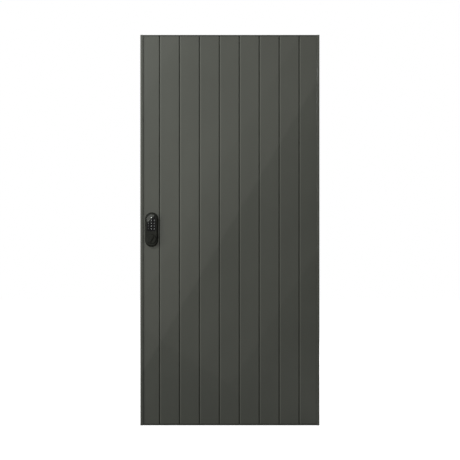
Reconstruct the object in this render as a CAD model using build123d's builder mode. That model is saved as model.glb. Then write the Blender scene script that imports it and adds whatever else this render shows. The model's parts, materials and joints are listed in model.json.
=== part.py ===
from build123d import *
import os
from math import cos, radians, sin

# Hinged aluminium door in its frame, seen from outside along +Y.
# X runs to the right, Z up. The origin is on the line of the wall fixings,
# at mid width, on the underside of the threshold.

# Frame
frame_width = 963.0
frame_height = 2100.0
frame_depth = 62.0
fixing_setback = 31.0
jamb_wall = 3.0
lip_width = 14.0
lip_thickness = 3.0
lip_edge_radius = 2.4
head_thickness = 3.0
threshold_thickness = 4.0
side_gap = 5.0
head_gap = 2.0
sill_gap = 2.5
weld_leg = 2.0

# Leaf
board_reveal = 8.0
board_thickness = 12.0
core_depth = 28.0
lock_stile_width = 80.0
hinge_stile_width = 50.0
edge_wall = 4.0
section_wall = 2.0
thermal_break_width = 15.0
thermal_break_inset = 0.5
edge_flange_width = 6.0
edge_flange_thickness = 1.5
rail_height = 60.0
middle_rail_centre = 1200.0
core_clearance = 1.0
cleat_leg = 30.0
cleat_thickness = 3.0
cleat_depth = 20.0

# Boards
full_board_count = 7
edge_board_width = 97.5
board_shift = 3.0
board_edge_clearance = 0.5
vee_depth = 3.0
tongue_length = 6.0
tongue_thickness = 2.6
tongue_depth = 7.0
joint_clearance = 0.2
board_wall = 1.5
board_lug = 4.0
board_chambers = 3

# Seals
seal_width = 9.0
seal_height = 3.2
seal_wall = 0.8
seal_edge_offset = 0.6
brush_width = 5.0
brush_clearance = 0.3
sweep_holder_width = 10.0
sweep_holder_height = 12.0
sweep_holder_wall = 1.2
sweep_brush_width = 5.0

# Hinges
hinge_names = ("hinge_bottom", "hinge_middle", "hinge_top")
hinge_end_distance = 250.0
hinge_height = 100.0
hinge_plate_thickness = 2.2
hinge_plate_reach = 36.0
hinge_knuckle_radius = 5.5
hinge_knuckle_stand_off = 0.5
hinge_knuckle_gap = 0.4
hinge_knuckle_clearance = 0.4
hinge_pin_radius = 2.75
hinge_pin_play = 0.05
hinge_pin_head_radius = 5.0
hinge_pin_head_height = 2.5
hinge_screw_spacing = 34.0
hinge_screw_inset = 9.5
hinge_screw_radius = 2.5
hinge_screw_head_radius = 4.4
leaf_screw_reach = 4.0
screw_clearance = 0.25
countersink_angle = 90.0

# Wall fixings
jamb_fixing_radius = 3.25
jamb_fixing_head_radius = 5.5
outer_fixing_spacing = 1760.0
inner_fixing_spacing = 600.0
threshold_fixing_radius = 2.75
threshold_fixing_head_radius = 5.0
threshold_fixing_spacing = 640.0

# Lock, placed by its spindle
backset = 52.5
spindle_height = 1003.0
lock_rise = 49.8
lock_width = 72.0
lock_height = 186.0
lock_wall = 2.5
lock_front_wall = 4.5
gasket_thickness = 1.2
gasket_band = 5.0
outer_lock_depth = 24.0
outer_lock_taper = 7.5
inner_lock_depth = 30.0
inner_lock_taper = 4.0
lock_edge_radius = 2.5
glass_border = 3.5
glass_bottom = 41.0
glass_corner_radius = 12.0
glass_thickness = 2.0
glass_ledge = 2.5
indicator_radius = 1.6
indicator_drop = 17.0
circuit_board_width = 48.0
circuit_board_height = 70.0
circuit_board_thickness = 1.6
circuit_board_foot = 42.0
post_radius = 6.0
boss_radius = 12.5
post_screw_depth = 12.0
through_bolt_radius = 2.5
through_bolt_head_radius = 4.5
through_bolt_head_height = 2.6
through_bolt_upper = 120.0
through_bolt_lower = 29.0
bolt_hole_clearance = 1.0
cable_radius = 2.0
cable_reach = 8.0
cable_hole_radius = 6.0
back_plate_thickness = 2.0

# Turn knob and thumb turn
knob_radius = 24.5
knob_proud = 6.0
knob_edge_radius = 2.0
knob_recess_clearance = 0.6
knob_recess_depth = 1.5
knob_shaft_radius = 9.0
knob_ridge_width = 9.0
knob_ridge_length = 42.0
knob_ridge_height = 7.0
knob_ridge_taper = 8.0
knob_ridge_angle = 57.0
turn_shaft_radius = 8.0
turn_play = 0.05
turn_flange_radius = 15.0
turn_flange_height = 3.0
turn_stand_off = 0.4
turn_grip_length = 46.0
turn_grip_width = 9.0
turn_grip_height = 20.0
turn_grip_taper = 4.0
turn_grip_angle = 90.0
cam_angle_at_rest = 45.0
blade_width = 8.0
blade_thickness = 3.0
blade_clearance = 0.2
blade_entry = 6.0
spindle_hole_radius = 12.0

# Deadbolt, its cam, case and strike
bolt_throw = 20.0
bolt_height = 20.0
bolt_depth = 14.0
bolt_head_length = 32.0
bolt_neck_start = 24.0
case_length = 72.0
case_height = 46.0
case_depth = 20.0
case_wall = 1.5
case_opening_clearance = 0.5
cam_hub_radius = 8.0
cam_arm_width = 3.0
cam_arm_thickness = 8.0
cam_finger_radius = 3.0
cam_finger_clearance = 0.65
tail_floor = 9.0
tail_end = 4.0
faceplate_width = 24.0
faceplate_height = 80.0
faceplate_thickness = 2.5
faceplate_clearance = 0.2
faceplate_screw_spacing = 66.0
lock_screw_radius = 2.0
lock_screw_head_radius = 3.5
faceplate_screw_length = 14.0
strike_width = 28.0
strike_height = 110.0
strike_thickness = 1.5
strike_corner_radius = 3.0
strike_screw_spacing = 88.0
strike_clearance = 1.0

# Batteries
cell_count = 4
cell_radius = 7.25
cell_length = 50.5
cell_pitch = 14.8
cell_foot = 50.0
contact_thickness = 0.6
shelf_thickness = 2.0
cell_stand_off = 0.5
battery_cover_thickness = 2.5

# Inside pull handle, hung below the lock
handle_clearance = 24.3
handle_spacing = 225.0
handle_bar_radius = 10.0
handle_projection = 55.0
handle_bend_radius = 28.0
handle_foot_width = 26.0
handle_foot_height = 66.0
handle_foot_thickness = 5.0
handle_screw_spacing = 48.0
handle_screw_length = 22.0
handle_screw_radius = 2.5
handle_screw_head_radius = 4.4

# Positions that follow from the sizes
half_width = frame_width / 2
frame_front = -fixing_setback
frame_back = frame_front + frame_depth
lip_back = frame_front + lip_thickness
web_face = half_width - jamb_wall
leaf_edge = web_face - side_gap
leaf_width = 2 * leaf_edge
leaf_bottom = threshold_thickness + sill_gap
leaf_top = frame_height - head_thickness - head_gap
leaf_height = leaf_top - leaf_bottom
leaf_face = frame_front + board_reveal
core_front = leaf_face + board_thickness
core_back = core_front + core_depth
leaf_back = core_back + board_thickness
core_middle = (core_front + core_back) / 2
break_front = -thermal_break_width / 2
break_back = thermal_break_width / 2
rail_left = -leaf_edge + lock_stile_width
rail_right = leaf_edge - hinge_stile_width
rail_length = rail_right - rail_left
rail_middle = (rail_left + rail_right) / 2
bottom_rail_centre = leaf_bottom + rail_height / 2
top_rail_centre = leaf_top - rail_height / 2
rail_centres = {
    "bottom_rail": bottom_rail_centre,
    "middle_rail": middle_rail_centre,
    "top_rail": top_rail_centre,
}
board_cover = (leaf_width - 2 * edge_board_width) / full_board_count
first_joint = -full_board_count * board_cover / 2 - board_shift
lock_x = -leaf_edge + backset
pin_x = leaf_edge + side_gap / 2
pin_y = frame_back + hinge_knuckle_stand_off + hinge_knuckle_radius
cam_radius = bolt_throw / 2 / cos(radians(cam_angle_at_rest))
tail_top = case_height / 2 - case_wall - case_opening_clearance
notch_top = cam_radius + cam_finger_radius + cam_finger_clearance
notch_centre = backset + bolt_throw / 2
notch_half = cam_finger_radius + cam_finger_clearance
shelf_top = cell_foot - contact_thickness
shelf_foot = shelf_top - shelf_thickness
upper_shelf_foot = cell_foot + cell_length + contact_thickness
cable_height = shelf_foot - cable_radius
faceplate_screw_points = [
    (-core_middle, spindle_height + sign * faceplate_screw_spacing / 2) for sign in (-1, 1)
]
strike_screw_points = [
    (core_middle, spindle_height + sign * strike_screw_spacing / 2) for sign in (-1, 1)
]
through_bolt_points = ((0, through_bolt_upper), (0, -through_bolt_lower))
upper_handle_foot = lock_rise - lock_height / 2 - handle_clearance - handle_foot_height / 2
handle_foot_heights = (upper_handle_foot - handle_spacing, upper_handle_foot)
handle_screw_points = [
    (0, foot + sign * handle_screw_spacing / 2) for foot in handle_foot_heights for sign in (-1, 1)
]
outer_base = leaf_face - gasket_thickness
outer_nose = outer_base - outer_lock_depth
inner_base = leaf_back + back_plate_thickness
inner_nose = inner_base + inner_lock_depth

# The sweep's holder stands in a slot behind the outer boards.
sweep_front = core_front + section_wall
sweep_back = sweep_front + sweep_holder_width
sweep_middle = (sweep_front + sweep_back) / 2

fixing_points = [
    frame_height / 2 + sign * spacing / 2
    for spacing in (outer_fixing_spacing, inner_fixing_spacing)
    for sign in (-1, 1)
]

hinge_step = (leaf_height - 2 * hinge_end_distance) / (len(hinge_names) - 1)
hinge_heights = [leaf_bottom + hinge_end_distance + n * hinge_step for n in range(len(hinge_names))]
hinge_screw_points = [
    (pin_y - hinge_plate_reach + hinge_screw_inset, z + n * hinge_screw_spacing)
    for z in hinge_heights
    for n in (-1, 0, 1)
]

# Planes that look out of each face of the door
threshold_top = Plane.XY.offset(threshold_thickness)
lock_jamb_face = Plane(origin=(-web_face, 0, 0), x_dir=(0, 1, 0), z_dir=(1, 0, 0))
hinge_jamb_face = Plane(origin=(web_face, 0, 0), x_dir=(0, -1, 0), z_dir=(-1, 0, 0))
lock_edge_face = Plane(origin=(-leaf_edge, 0, 0), x_dir=(0, -1, 0), z_dir=(-1, 0, 0))


def outside_plane(y):
    # Looks out towards the viewer: local x is +X and local y is +Z.
    return Plane(origin=(lock_x, y, spindle_height), x_dir=(1, 0, 0), z_dir=(0, -1, 0))


def inside_plane(y):
    # Looks into the building: local x is -X and local y is +Z.
    return Plane(origin=(lock_x, y, spindle_height), x_dir=(-1, 0, 0), z_dir=(0, 1, 0))


def lock_edge_section(y):
    # Looks out towards the viewer, with its local x measured from the leaf's lock edge.
    return Plane(origin=(-leaf_edge, y, spindle_height), x_dir=(1, 0, 0), z_dir=(0, -1, 0))


def finish(builder, name):
    builder.part.label = name
    export_step(builder.part, f"parts/{name}.step")


def block(low, high, mode=Mode.ADD):
    # A rectangular block between two opposite corners.
    middle = tuple((a + b) / 2 for a, b in zip(low, high))
    size = [b - a for a, b in zip(low, high)]
    with Locations(middle):
        Box(*size, mode=mode)


def countersunk_screw(shank_radius, head_radius, length):
    # The head is flush with the plane and the shank points into it.
    head_height = head_radius - shank_radius
    Cone(shank_radius, head_radius, head_height, align=(Align.CENTER, Align.CENTER, Align.MAX))
    with Locations((0, 0, -head_height)):
        Cylinder(shank_radius, length - head_height, align=(Align.CENTER, Align.CENTER, Align.MAX))


def jamb(side):
    # An L section: a wall against the masonry and a lip that faces outside.
    outer = side * half_width
    web = side * web_face
    lip = side * (half_width - lip_width)
    with BuildSketch(Plane.XY) as section:
        with BuildLine():
            Polyline(
                (outer, frame_front),
                (lip, frame_front),
                (lip, lip_back),
                (web, lip_back),
                (web, frame_back),
                (outer, frame_back),
                close=True,
            )
        make_face()
        lip_edge = section.vertices().group_by(Axis.X)[0 if side > 0 else -1]
        fillet(lip_edge.sort_by(Axis.Y)[0], lip_edge_radius)
    extrude(section.sketch, amount=frame_height)


def jamb_fixing_holes():
    with Locations(*[(0, z) for z in fixing_points]):
        CounterSinkHole(
            jamb_fixing_radius,
            jamb_fixing_head_radius,
            depth=2 * jamb_wall,
            counter_sink_angle=countersink_angle,
        )


def keep_opening():
    # The hole that the thrown bolt goes through, with its clearance all round.
    with Locations((core_middle, spindle_height)):
        Rectangle(bolt_depth + 2 * strike_clearance, bolt_height + 2 * strike_clearance)


def board_section(start, face, inward):
    # A hollow tongue-and-groove board. It starts at x = start, its face lies at y = face,
    # and inward is +1 or -1, the way from the face to the back.
    def at(u, v):
        return (start + u, face + inward * v)

    socket_half = tongue_thickness / 2 + joint_clearance
    tongue_half = tongue_thickness / 2
    socket_depth = tongue_length + 2 * joint_clearance
    with BuildLine() as outline:
        Polyline(
            at(vee_depth, 0),
            at(board_cover - vee_depth, 0),
            at(board_cover, vee_depth),
            at(board_cover, tongue_depth - tongue_half),
            at(board_cover + tongue_length, tongue_depth - tongue_half),
            at(board_cover + tongue_length, tongue_depth + tongue_half),
            at(board_cover, tongue_depth + tongue_half),
            at(board_cover, board_thickness),
            at(0, board_thickness),
            at(0, tongue_depth + socket_half),
            at(socket_depth, tongue_depth + socket_half),
            at(socket_depth, tongue_depth - socket_half),
            at(0, tongue_depth - socket_half),
            at(0, vee_depth),
            close=True,
        )
    make_face(outline.line)
    hollow_start = socket_depth + board_wall
    hollow_width = board_cover - board_lug - hollow_start
    chamber = (hollow_width - (board_chambers - 1) * board_wall) / board_chambers
    for n in range(board_chambers):
        centre = hollow_start + chamber / 2 + n * (chamber + board_wall)
        with Locations(at(centre, board_thickness / 2)):
            Rectangle(chamber, board_thickness - 2 * board_wall, mode=Mode.SUBTRACT)


def boards(face, inward):
    # The edge boards are full boards sawn along their length to fit the leaf.
    made = []
    limit = leaf_edge - edge_wall - board_edge_clearance
    for n in range(full_board_count + 2):
        start = first_joint + (n - 1) * board_cover
        with BuildPart() as board:
            with BuildSketch(Plane.XY.offset(leaf_bottom)):
                board_section(start, face, inward)
            extrude(amount=leaf_height)
            if n == 0:
                split(bisect_by=Plane.YZ.offset(-limit), keep=Keep.TOP)
                lock_holes()
                if inward < 0:
                    handle_screw_holes()
            if n == full_board_count + 1:
                split(bisect_by=Plane.YZ.offset(limit), keep=Keep.BOTTOM)
        made.append(board)
    return made


def lock_holes():
    # The holes that the lock needs right through the leaf.
    through = 2 * frame_depth
    with Locations(outside_plane(core_middle)):
        Cylinder(spindle_hole_radius, through, mode=Mode.SUBTRACT)
        with Locations((0, through_bolt_upper), (0, -through_bolt_lower)):
            Cylinder(through_bolt_radius + bolt_hole_clearance, through, mode=Mode.SUBTRACT)
        with Locations((0, cable_height)):
            Cylinder(cable_hole_radius, through, mode=Mode.SUBTRACT)


def handle_screw_holes():
    # Pilot holes for the inside pull handle, from the inner face of the leaf.
    depth = handle_screw_length - handle_foot_thickness
    with Locations(inside_plane(leaf_back)):
        with Locations(*handle_screw_points):
            Cylinder(
                handle_screw_radius,
                depth,
                align=(Align.CENTER, Align.CENTER, Align.MAX),
                mode=Mode.SUBTRACT,
            )


def stile_shell(side, width, inward):
    # Half of a stile: the outer half for inward = +1, the inner half for inward = -1.
    # A thick edge wall, whose flange laps over the boards, and a channel against the core.
    if inward > 0:
        face, wall, meeting = leaf_face, core_front, break_front
    else:
        face, wall, meeting = leaf_back, core_back, break_back

    def at(s, y):
        return (side * (leaf_edge - s), y)

    with BuildSketch(Plane.XY.offset(leaf_bottom)) as section:
        with BuildLine():
            Polyline(
                at(0, face - inward * edge_flange_thickness),
                at(edge_flange_width, face - inward * edge_flange_thickness),
                at(edge_flange_width, face),
                at(edge_wall, face),
                at(edge_wall, wall),
                at(width, wall),
                at(width, meeting),
                at(width - section_wall, meeting),
                at(width - section_wall, wall + inward * section_wall),
                at(edge_wall, wall + inward * section_wall),
                at(edge_wall, meeting),
                at(0, meeting),
                close=True,
            )
        make_face()
    extrude(section.sketch, amount=leaf_height)
    sweep_slot()


def sweep_slot():
    # The slot along the foot of the leaf for the brush holder.
    block(
        (-leaf_edge + edge_wall, sweep_front, leaf_bottom),
        (leaf_edge - edge_wall, sweep_back, leaf_bottom + sweep_holder_height),
        mode=Mode.SUBTRACT,
    )


def lock_edge_cuts():
    # In the leaf's lock edge: the mouth for the case, the faceplate's rebate and its screw holes.
    with BuildSketch(lock_edge_face) as mouth:
        with Locations((-core_middle, spindle_height)):
            Rectangle(
                case_depth + 2 * case_opening_clearance,
                case_height + 2 * case_opening_clearance,
            )
    extrude(mouth.sketch, amount=-edge_wall, mode=Mode.SUBTRACT)
    with BuildSketch(lock_edge_face) as rebate:
        with Locations((-core_middle, spindle_height)):
            Rectangle(
                faceplate_width + 2 * faceplate_clearance,
                faceplate_height + 2 * faceplate_clearance,
            )
    extrude(rebate.sketch, amount=-faceplate_thickness, mode=Mode.SUBTRACT)
    with Locations(lock_edge_face):
        with Locations(*faceplate_screw_points):
            Hole(lock_screw_radius, depth=edge_wall)


def finish_group(builders, name):
    # Solids of one node that touch and stay separate.
    group = Compound(children=[builder.part for builder in builders])
    group.label = name
    export_step(group, f"parts/{name}.step")


def capsule(inset=0.0):
    # The lock's outline on the door, drawn in by the inset all round.
    with Locations((0, lock_rise)):
        SlotOverall(lock_height - 2 * inset, lock_width - 2 * inset, rotation=90)


def drafted_capsule(plane, depth, taper):
    # The capsule draws in by the taper from the door to its front, which has a rounded edge.
    with BuildSketch(plane) as foot:
        capsule()
    with BuildSketch(plane.offset(depth)) as nose:
        capsule(taper)
    loft([foot.sketch, nose.sketch])
    front = plane.offset(depth)
    front_edges = [edge for edge in edges() if abs(front.to_local_coords(edge.center()).Z) < 0.01]
    fillet(front_edges, lock_edge_radius)


def hollow_capsule(plane, depth, taper):
    # The space inside, with drafted side walls and a thicker front wall.
    reach = depth - lock_front_wall
    with BuildSketch(plane) as foot:
        capsule(lock_wall)
    with BuildSketch(plane.offset(reach)) as nose:
        capsule(lock_wall + taper * reach / depth)
    loft([foot.sketch, nose.sketch], mode=Mode.SUBTRACT)


def arch(taper, grow=0.0):
    # An upright panel, round at its top and with rounded lower corners, as on both lock faces.
    half = lock_width / 2 - taper - glass_border + grow
    top = lock_rise + lock_height / 2 - taper - glass_border + grow
    foot = glass_bottom - grow
    corner = glass_corner_radius + grow
    with BuildLine() as outline:
        Line((half, top - half), (half, foot + corner))
        ThreePointArc(
            (half, foot + corner),
            (half - corner * (1 - cos(radians(45))), foot + corner * (1 - sin(radians(45)))),
            (half - corner, foot),
        )
        Line((half - corner, foot), (corner - half, foot))
        ThreePointArc(
            (corner - half, foot),
            (corner * (1 - cos(radians(45))) - half, foot + corner * (1 - sin(radians(45)))),
            (-half, foot + corner),
        )
        Line((-half, foot + corner), (-half, top - half))
        ThreePointArc((-half, top - half), (0, top), (half, top - half))
    make_face(outline.line)


os.makedirs("parts", exist_ok=True)

# Fixed frame
with BuildPart() as jamb_lock_side:
    jamb(-1)
    with BuildSketch(lock_jamb_face):
        keep_opening()
    extrude(amount=-jamb_wall, mode=Mode.SUBTRACT)
    with Locations(lock_jamb_face):
        jamb_fixing_holes()
        with Locations(*strike_screw_points):
            Hole(lock_screw_radius, depth=2 * jamb_wall)
finish(jamb_lock_side, "jamb_lock_side")

with BuildPart() as jamb_hinge_side:
    jamb(1)
    with Locations(hinge_jamb_face):
        jamb_fixing_holes()
        with Locations(*[(-y, z) for y, z in hinge_screw_points]):
            Hole(hinge_screw_radius, depth=2 * jamb_wall)
finish(jamb_hinge_side, "jamb_hinge_side")

with BuildPart() as head:
    block((-web_face, lip_back, frame_height - head_thickness), (web_face, frame_back, frame_height))
finish(head, "head")

with BuildPart() as threshold:
    block((-web_face, lip_back, 0), (web_face, frame_back, threshold_thickness))
    with Locations(threshold_top):
        with GridLocations(threshold_fixing_spacing, 0, 2, 1):
            CounterSinkHole(
                threshold_fixing_radius,
                threshold_fixing_head_radius,
                depth=2 * threshold_thickness,
                counter_sink_angle=countersink_angle,
            )
finish(threshold, "threshold")

weld_start = lip_back + seal_height
with BuildPart() as corner_welds:
    with BuildSketch(Plane.XZ.offset(-weld_start)):
        for side in (-1, 1):
            for level, way in ((threshold_thickness, 1), (frame_height - head_thickness, -1)):
                with BuildLine():
                    Polyline(
                        (side * web_face, level),
                        (side * (web_face - weld_leg), level),
                        (side * web_face, level + way * weld_leg),
                        close=True,
                    )
                make_face()
    extrude(amount=-(frame_back - weld_start))
finish(corner_welds, "corner_welds")

with BuildPart() as jamb_seals:
    for side in (-1, 1):
        with BuildSketch(Plane.XY.offset(threshold_thickness)) as seal_section:
            centre = side * (half_width - lip_width + seal_edge_offset + seal_width / 2)
            with BuildLine():
                left = (centre - seal_width / 2, lip_back)
                right = (centre + seal_width / 2, lip_back)
                ThreePointArc(left, (centre, lip_back + seal_height), right)
                Line(right, left)
            make_face()
            with BuildLine():
                inner_half = seal_width / 2 - 2 * seal_wall
                left = (centre - inner_half, lip_back + seal_wall)
                right = (centre + inner_half, lip_back + seal_wall)
                ThreePointArc(left, (centre, lip_back + seal_height - seal_wall), right)
                Line(right, left)
            make_face(mode=Mode.SUBTRACT)
        extrude(amount=frame_height - threshold_thickness - head_thickness)
finish(jamb_seals, "jamb_seals")

brush_front = leaf_face + vee_depth
with BuildPart() as head_brush:
    block(
        (-leaf_edge, brush_front, leaf_top + brush_clearance),
        (leaf_edge, brush_front + brush_width, frame_height - head_thickness),
    )
finish(head_brush, "head_brush")

with BuildPart() as strike_plate:
    with BuildSketch(lock_jamb_face):
        with Locations((core_middle, spindle_height)):
            RectangleRounded(strike_width, strike_height, strike_corner_radius)
    extrude(amount=strike_thickness)
    with BuildSketch(lock_jamb_face):
        keep_opening()
    extrude(amount=strike_thickness, mode=Mode.SUBTRACT)
    with Locations(lock_jamb_face.offset(strike_thickness)):
        with Locations(*strike_screw_points):
            CounterSinkHole(
                lock_screw_radius + screw_clearance,
                lock_screw_head_radius,
                depth=2 * jamb_wall,
                counter_sink_angle=countersink_angle,
            )
finish(strike_plate, "strike_plate")

with BuildPart() as strike_screws:
    with Locations(lock_jamb_face.offset(strike_thickness)):
        with Locations(*strike_screw_points):
            countersunk_screw(lock_screw_radius, lock_screw_head_radius, strike_thickness + jamb_wall)
finish(strike_screws, "strike_screws")


# Hinges
def knuckle_levels(height, low):
    # The start and length of one of three equal knuckles with a gap between them.
    third = (hinge_height - 2 * hinge_knuckle_gap) / 3
    base = height - hinge_height / 2
    return base + low * (third + hinge_knuckle_gap), third


def hinge_plate(height, way, own_levels):
    # A flat plate against the frame (way +1) or the leaf (way -1), rolled into knuckles round the pin.
    near = pin_x + way * (side_gap / 2 - hinge_plate_thickness)
    far = pin_x + way * side_gap / 2
    base = height - hinge_height / 2
    block(
        (min(near, far), pin_y - hinge_plate_reach, base),
        (max(near, far), pin_y, base + hinge_height),
    )
    for level in range(3):
        start, length = knuckle_levels(height, level)
        if level in own_levels:
            with Locations((pin_x, pin_y, start)):
                Cylinder(hinge_knuckle_radius, length, align=(Align.CENTER, Align.CENTER, Align.MIN))
        else:
            with Locations((pin_x, pin_y, start - hinge_knuckle_gap)):
                Cylinder(
                    hinge_knuckle_radius + hinge_knuckle_clearance,
                    length + 2 * hinge_knuckle_gap,
                    align=(Align.CENTER, Align.CENTER, Align.MIN),
                    mode=Mode.SUBTRACT,
                )
    play = 0 if way > 0 else hinge_pin_play
    with Locations((pin_x, pin_y, height)):
        Cylinder(hinge_pin_radius + play, 2 * hinge_height, mode=Mode.SUBTRACT)
    face = Plane(origin=(near, 0, 0), x_dir=(0, -way, 0), z_dir=(-way, 0, 0))
    own_screws = [(-way * y, z) for y, z in hinge_screw_points if abs(z - height) < hinge_height / 2]
    with Locations(face):
        with Locations(*own_screws):
            CounterSinkHole(
                hinge_screw_radius + screw_clearance,
                hinge_screw_head_radius,
                depth=side_gap,
                counter_sink_angle=countersink_angle,
            )


for name, height in zip(hinge_names, hinge_heights):
    with BuildPart() as frame_plate:
        hinge_plate(height, 1, (0, 2))
    finish(frame_plate, f"{name}_frame_plate")
    with BuildPart() as leaf_plate:
        hinge_plate(height, -1, (1,))
    finish(leaf_plate, f"{name}_leaf_plate")

with BuildPart() as hinge_pins:
    with Locations(*[(pin_x, pin_y, z) for z in hinge_heights]):
        Cylinder(hinge_pin_radius, hinge_height)
    with Locations(*[(pin_x, pin_y, z + hinge_height / 2) for z in hinge_heights]):
        Cylinder(
            hinge_pin_head_radius,
            hinge_pin_head_height,
            align=(Align.CENTER, Align.CENTER, Align.MIN),
        )
finish(hinge_pins, "hinge_pins")

frame_plate_face = Plane(
    origin=(web_face - hinge_plate_thickness, 0, 0), x_dir=(0, -1, 0), z_dir=(-1, 0, 0)
)
leaf_plate_face = Plane(
    origin=(leaf_edge + hinge_plate_thickness, 0, 0), x_dir=(0, 1, 0), z_dir=(1, 0, 0)
)
with BuildPart() as hinge_frame_screws:
    with Locations(frame_plate_face):
        with Locations(*[(-y, z) for y, z in hinge_screw_points]):
            countersunk_screw(hinge_screw_radius, hinge_screw_head_radius, hinge_plate_thickness + jamb_wall)
finish(hinge_frame_screws, "hinge_frame_screws")

with BuildPart() as hinge_leaf_screws:
    with Locations(leaf_plate_face):
        with Locations(*hinge_screw_points):
            countersunk_screw(
                hinge_screw_radius,
                hinge_screw_head_radius,
                hinge_plate_thickness + edge_wall + leaf_screw_reach,
            )
finish(hinge_leaf_screws, "hinge_leaf_screws")

# Leaf structure
lock_stile_shells = []
hinge_stile_shells = []
for inward in (1, -1):
    with BuildPart() as lock_shell:
        stile_shell(-1, lock_stile_width, inward)
        lock_holes()
        handle_screw_holes()
        lock_edge_cuts()
    lock_stile_shells.append(lock_shell)
    with BuildPart() as hinge_shell:
        stile_shell(1, hinge_stile_width, inward)
        with Locations(Plane(origin=(leaf_edge, 0, 0), x_dir=(0, 1, 0), z_dir=(1, 0, 0))):
            with Locations(*hinge_screw_points):
                Hole(hinge_screw_radius, depth=edge_wall)
    hinge_stile_shells.append(hinge_shell)
finish_group(lock_stile_shells, "lock_stile")
finish_group(hinge_stile_shells, "hinge_stile")

# Plastic strips that join the two shells of each stile, at the leaf's edge and at the core
with BuildPart() as thermal_breaks:
    for side, width in ((-1, lock_stile_width), (1, hinge_stile_width)):
        edge_strip = (thermal_break_inset, edge_wall - thermal_break_inset)
        core_strip = (width - section_wall, width)
        for strip in (edge_strip, core_strip):
            near, far = sorted(side * (leaf_edge - reach) for reach in strip)
            block((near, break_front, leaf_bottom), (far, break_back, leaf_top))
    lock_edge_cuts()
    sweep_slot()
finish(thermal_breaks, "thermal_breaks")

for name, centre in rail_centres.items():
    with BuildPart() as rail:
        with BuildSketch(Plane.YZ.offset(rail_left)):
            with Locations((core_middle, centre)):
                Rectangle(core_depth, rail_height)
                Rectangle(core_depth - 2 * section_wall, rail_height - 2 * section_wall, mode=Mode.SUBTRACT)
        extrude(amount=rail_length)
        if name == "bottom_rail":
            block(
                (rail_left, sweep_front, leaf_bottom),
                (rail_right, sweep_back, leaf_bottom + section_wall),
                mode=Mode.SUBTRACT,
            )
    finish(rail, name)

# Cleats sit in the corners between rails and stiles, on the sides that face the bays.
bays = (
    (bottom_rail_centre + rail_height / 2, middle_rail_centre - rail_height / 2),
    (middle_rail_centre + rail_height / 2, top_rail_centre - rail_height / 2),
)
cleat_corners = [
    (x, way_x, z, way_z)
    for low, high in bays
    for x, way_x in ((rail_left, 1), (rail_right, -1))
    for z, way_z in ((low, 1), (high, -1))
]
with BuildPart() as rail_cleats:
    with BuildSketch(Plane.XZ.offset(-(core_middle - cleat_depth / 2))):
        for x, way_x, z, way_z in cleat_corners:
            with BuildLine():
                Polyline(
                    (x, z),
                    (x + way_x * cleat_leg, z),
                    (x + way_x * cleat_leg, z + way_z * cleat_thickness),
                    (x + way_x * cleat_thickness, z + way_z * cleat_thickness),
                    (x + way_x * cleat_thickness, z + way_z * cleat_leg),
                    (x, z + way_z * cleat_leg),
                    close=True,
                )
            make_face()
    extrude(amount=-cleat_depth)
finish(rail_cleats, "rail_cleats")

core_panel_pair = []
for low, high in bays:
    with BuildPart() as core_panel:
        with BuildSketch(Plane.XZ.offset(-core_front)):
            with Locations((rail_middle, (low + high) / 2)):
                Rectangle(rail_length - 2 * core_clearance, high - low - 2 * core_clearance)
            for x, way_x, z, way_z in cleat_corners:
                with Locations((x, z)):
                    Rectangle(
                        2 * (cleat_leg + core_clearance), 2 * (cleat_leg + core_clearance), mode=Mode.SUBTRACT
                    )
        extrude(amount=-core_depth)
    core_panel_pair.append(core_panel)
finish_group(core_panel_pair, "core_panels")

for n, board in enumerate(boards(leaf_face, 1), start=1):
    finish(board, f"outer_board_{n}")

finish_group(boards(leaf_back, -1), "inner_boards")

with BuildPart() as bottom_brush_holder:
    block(
        (-leaf_edge + edge_wall, sweep_front, leaf_bottom),
        (leaf_edge - edge_wall, sweep_back, leaf_bottom + sweep_holder_height),
    )
    block(
        (-leaf_edge + edge_wall, sweep_middle - sweep_brush_width / 2, leaf_bottom),
        (
            leaf_edge - edge_wall,
            sweep_middle + sweep_brush_width / 2,
            leaf_bottom + sweep_holder_height - sweep_holder_wall,
        ),
        mode=Mode.SUBTRACT,
    )
finish(bottom_brush_holder, "bottom_brush_holder")

with BuildPart() as bottom_brush:
    block(
        (
            -leaf_edge + edge_wall,
            sweep_middle - sweep_brush_width / 2,
            threshold_thickness + brush_clearance,
        ),
        (
            leaf_edge - edge_wall,
            sweep_middle + sweep_brush_width / 2,
            leaf_bottom + sweep_holder_height - sweep_holder_wall,
        ),
    )
finish(bottom_brush, "bottom_brush")

# Lock mechanism in the leaf
def from_edge(s):
    # The x of a point that lies s inside the leaf from its lock edge.
    return -leaf_edge + s


with BuildPart() as bolt_case:
    block(
        (from_edge(faceplate_thickness), core_middle - case_depth / 2, spindle_height - case_height / 2),
        (
            from_edge(faceplate_thickness + case_length),
            core_middle + case_depth / 2,
            spindle_height + case_height / 2,
        ),
    )
    block(
        (
            from_edge(faceplate_thickness),
            core_middle - case_depth / 2 + case_wall,
            spindle_height - case_height / 2 + case_wall,
        ),
        (
            from_edge(faceplate_thickness + case_length - case_wall),
            core_middle + case_depth / 2 - case_wall,
            spindle_height + case_height / 2 - case_wall,
        ),
        mode=Mode.SUBTRACT,
    )
    with Locations(outside_plane(core_middle)):
        Cylinder(cam_hub_radius + turn_play, 2 * case_depth, mode=Mode.SUBTRACT)
finish(bolt_case, "bolt_case")

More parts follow.
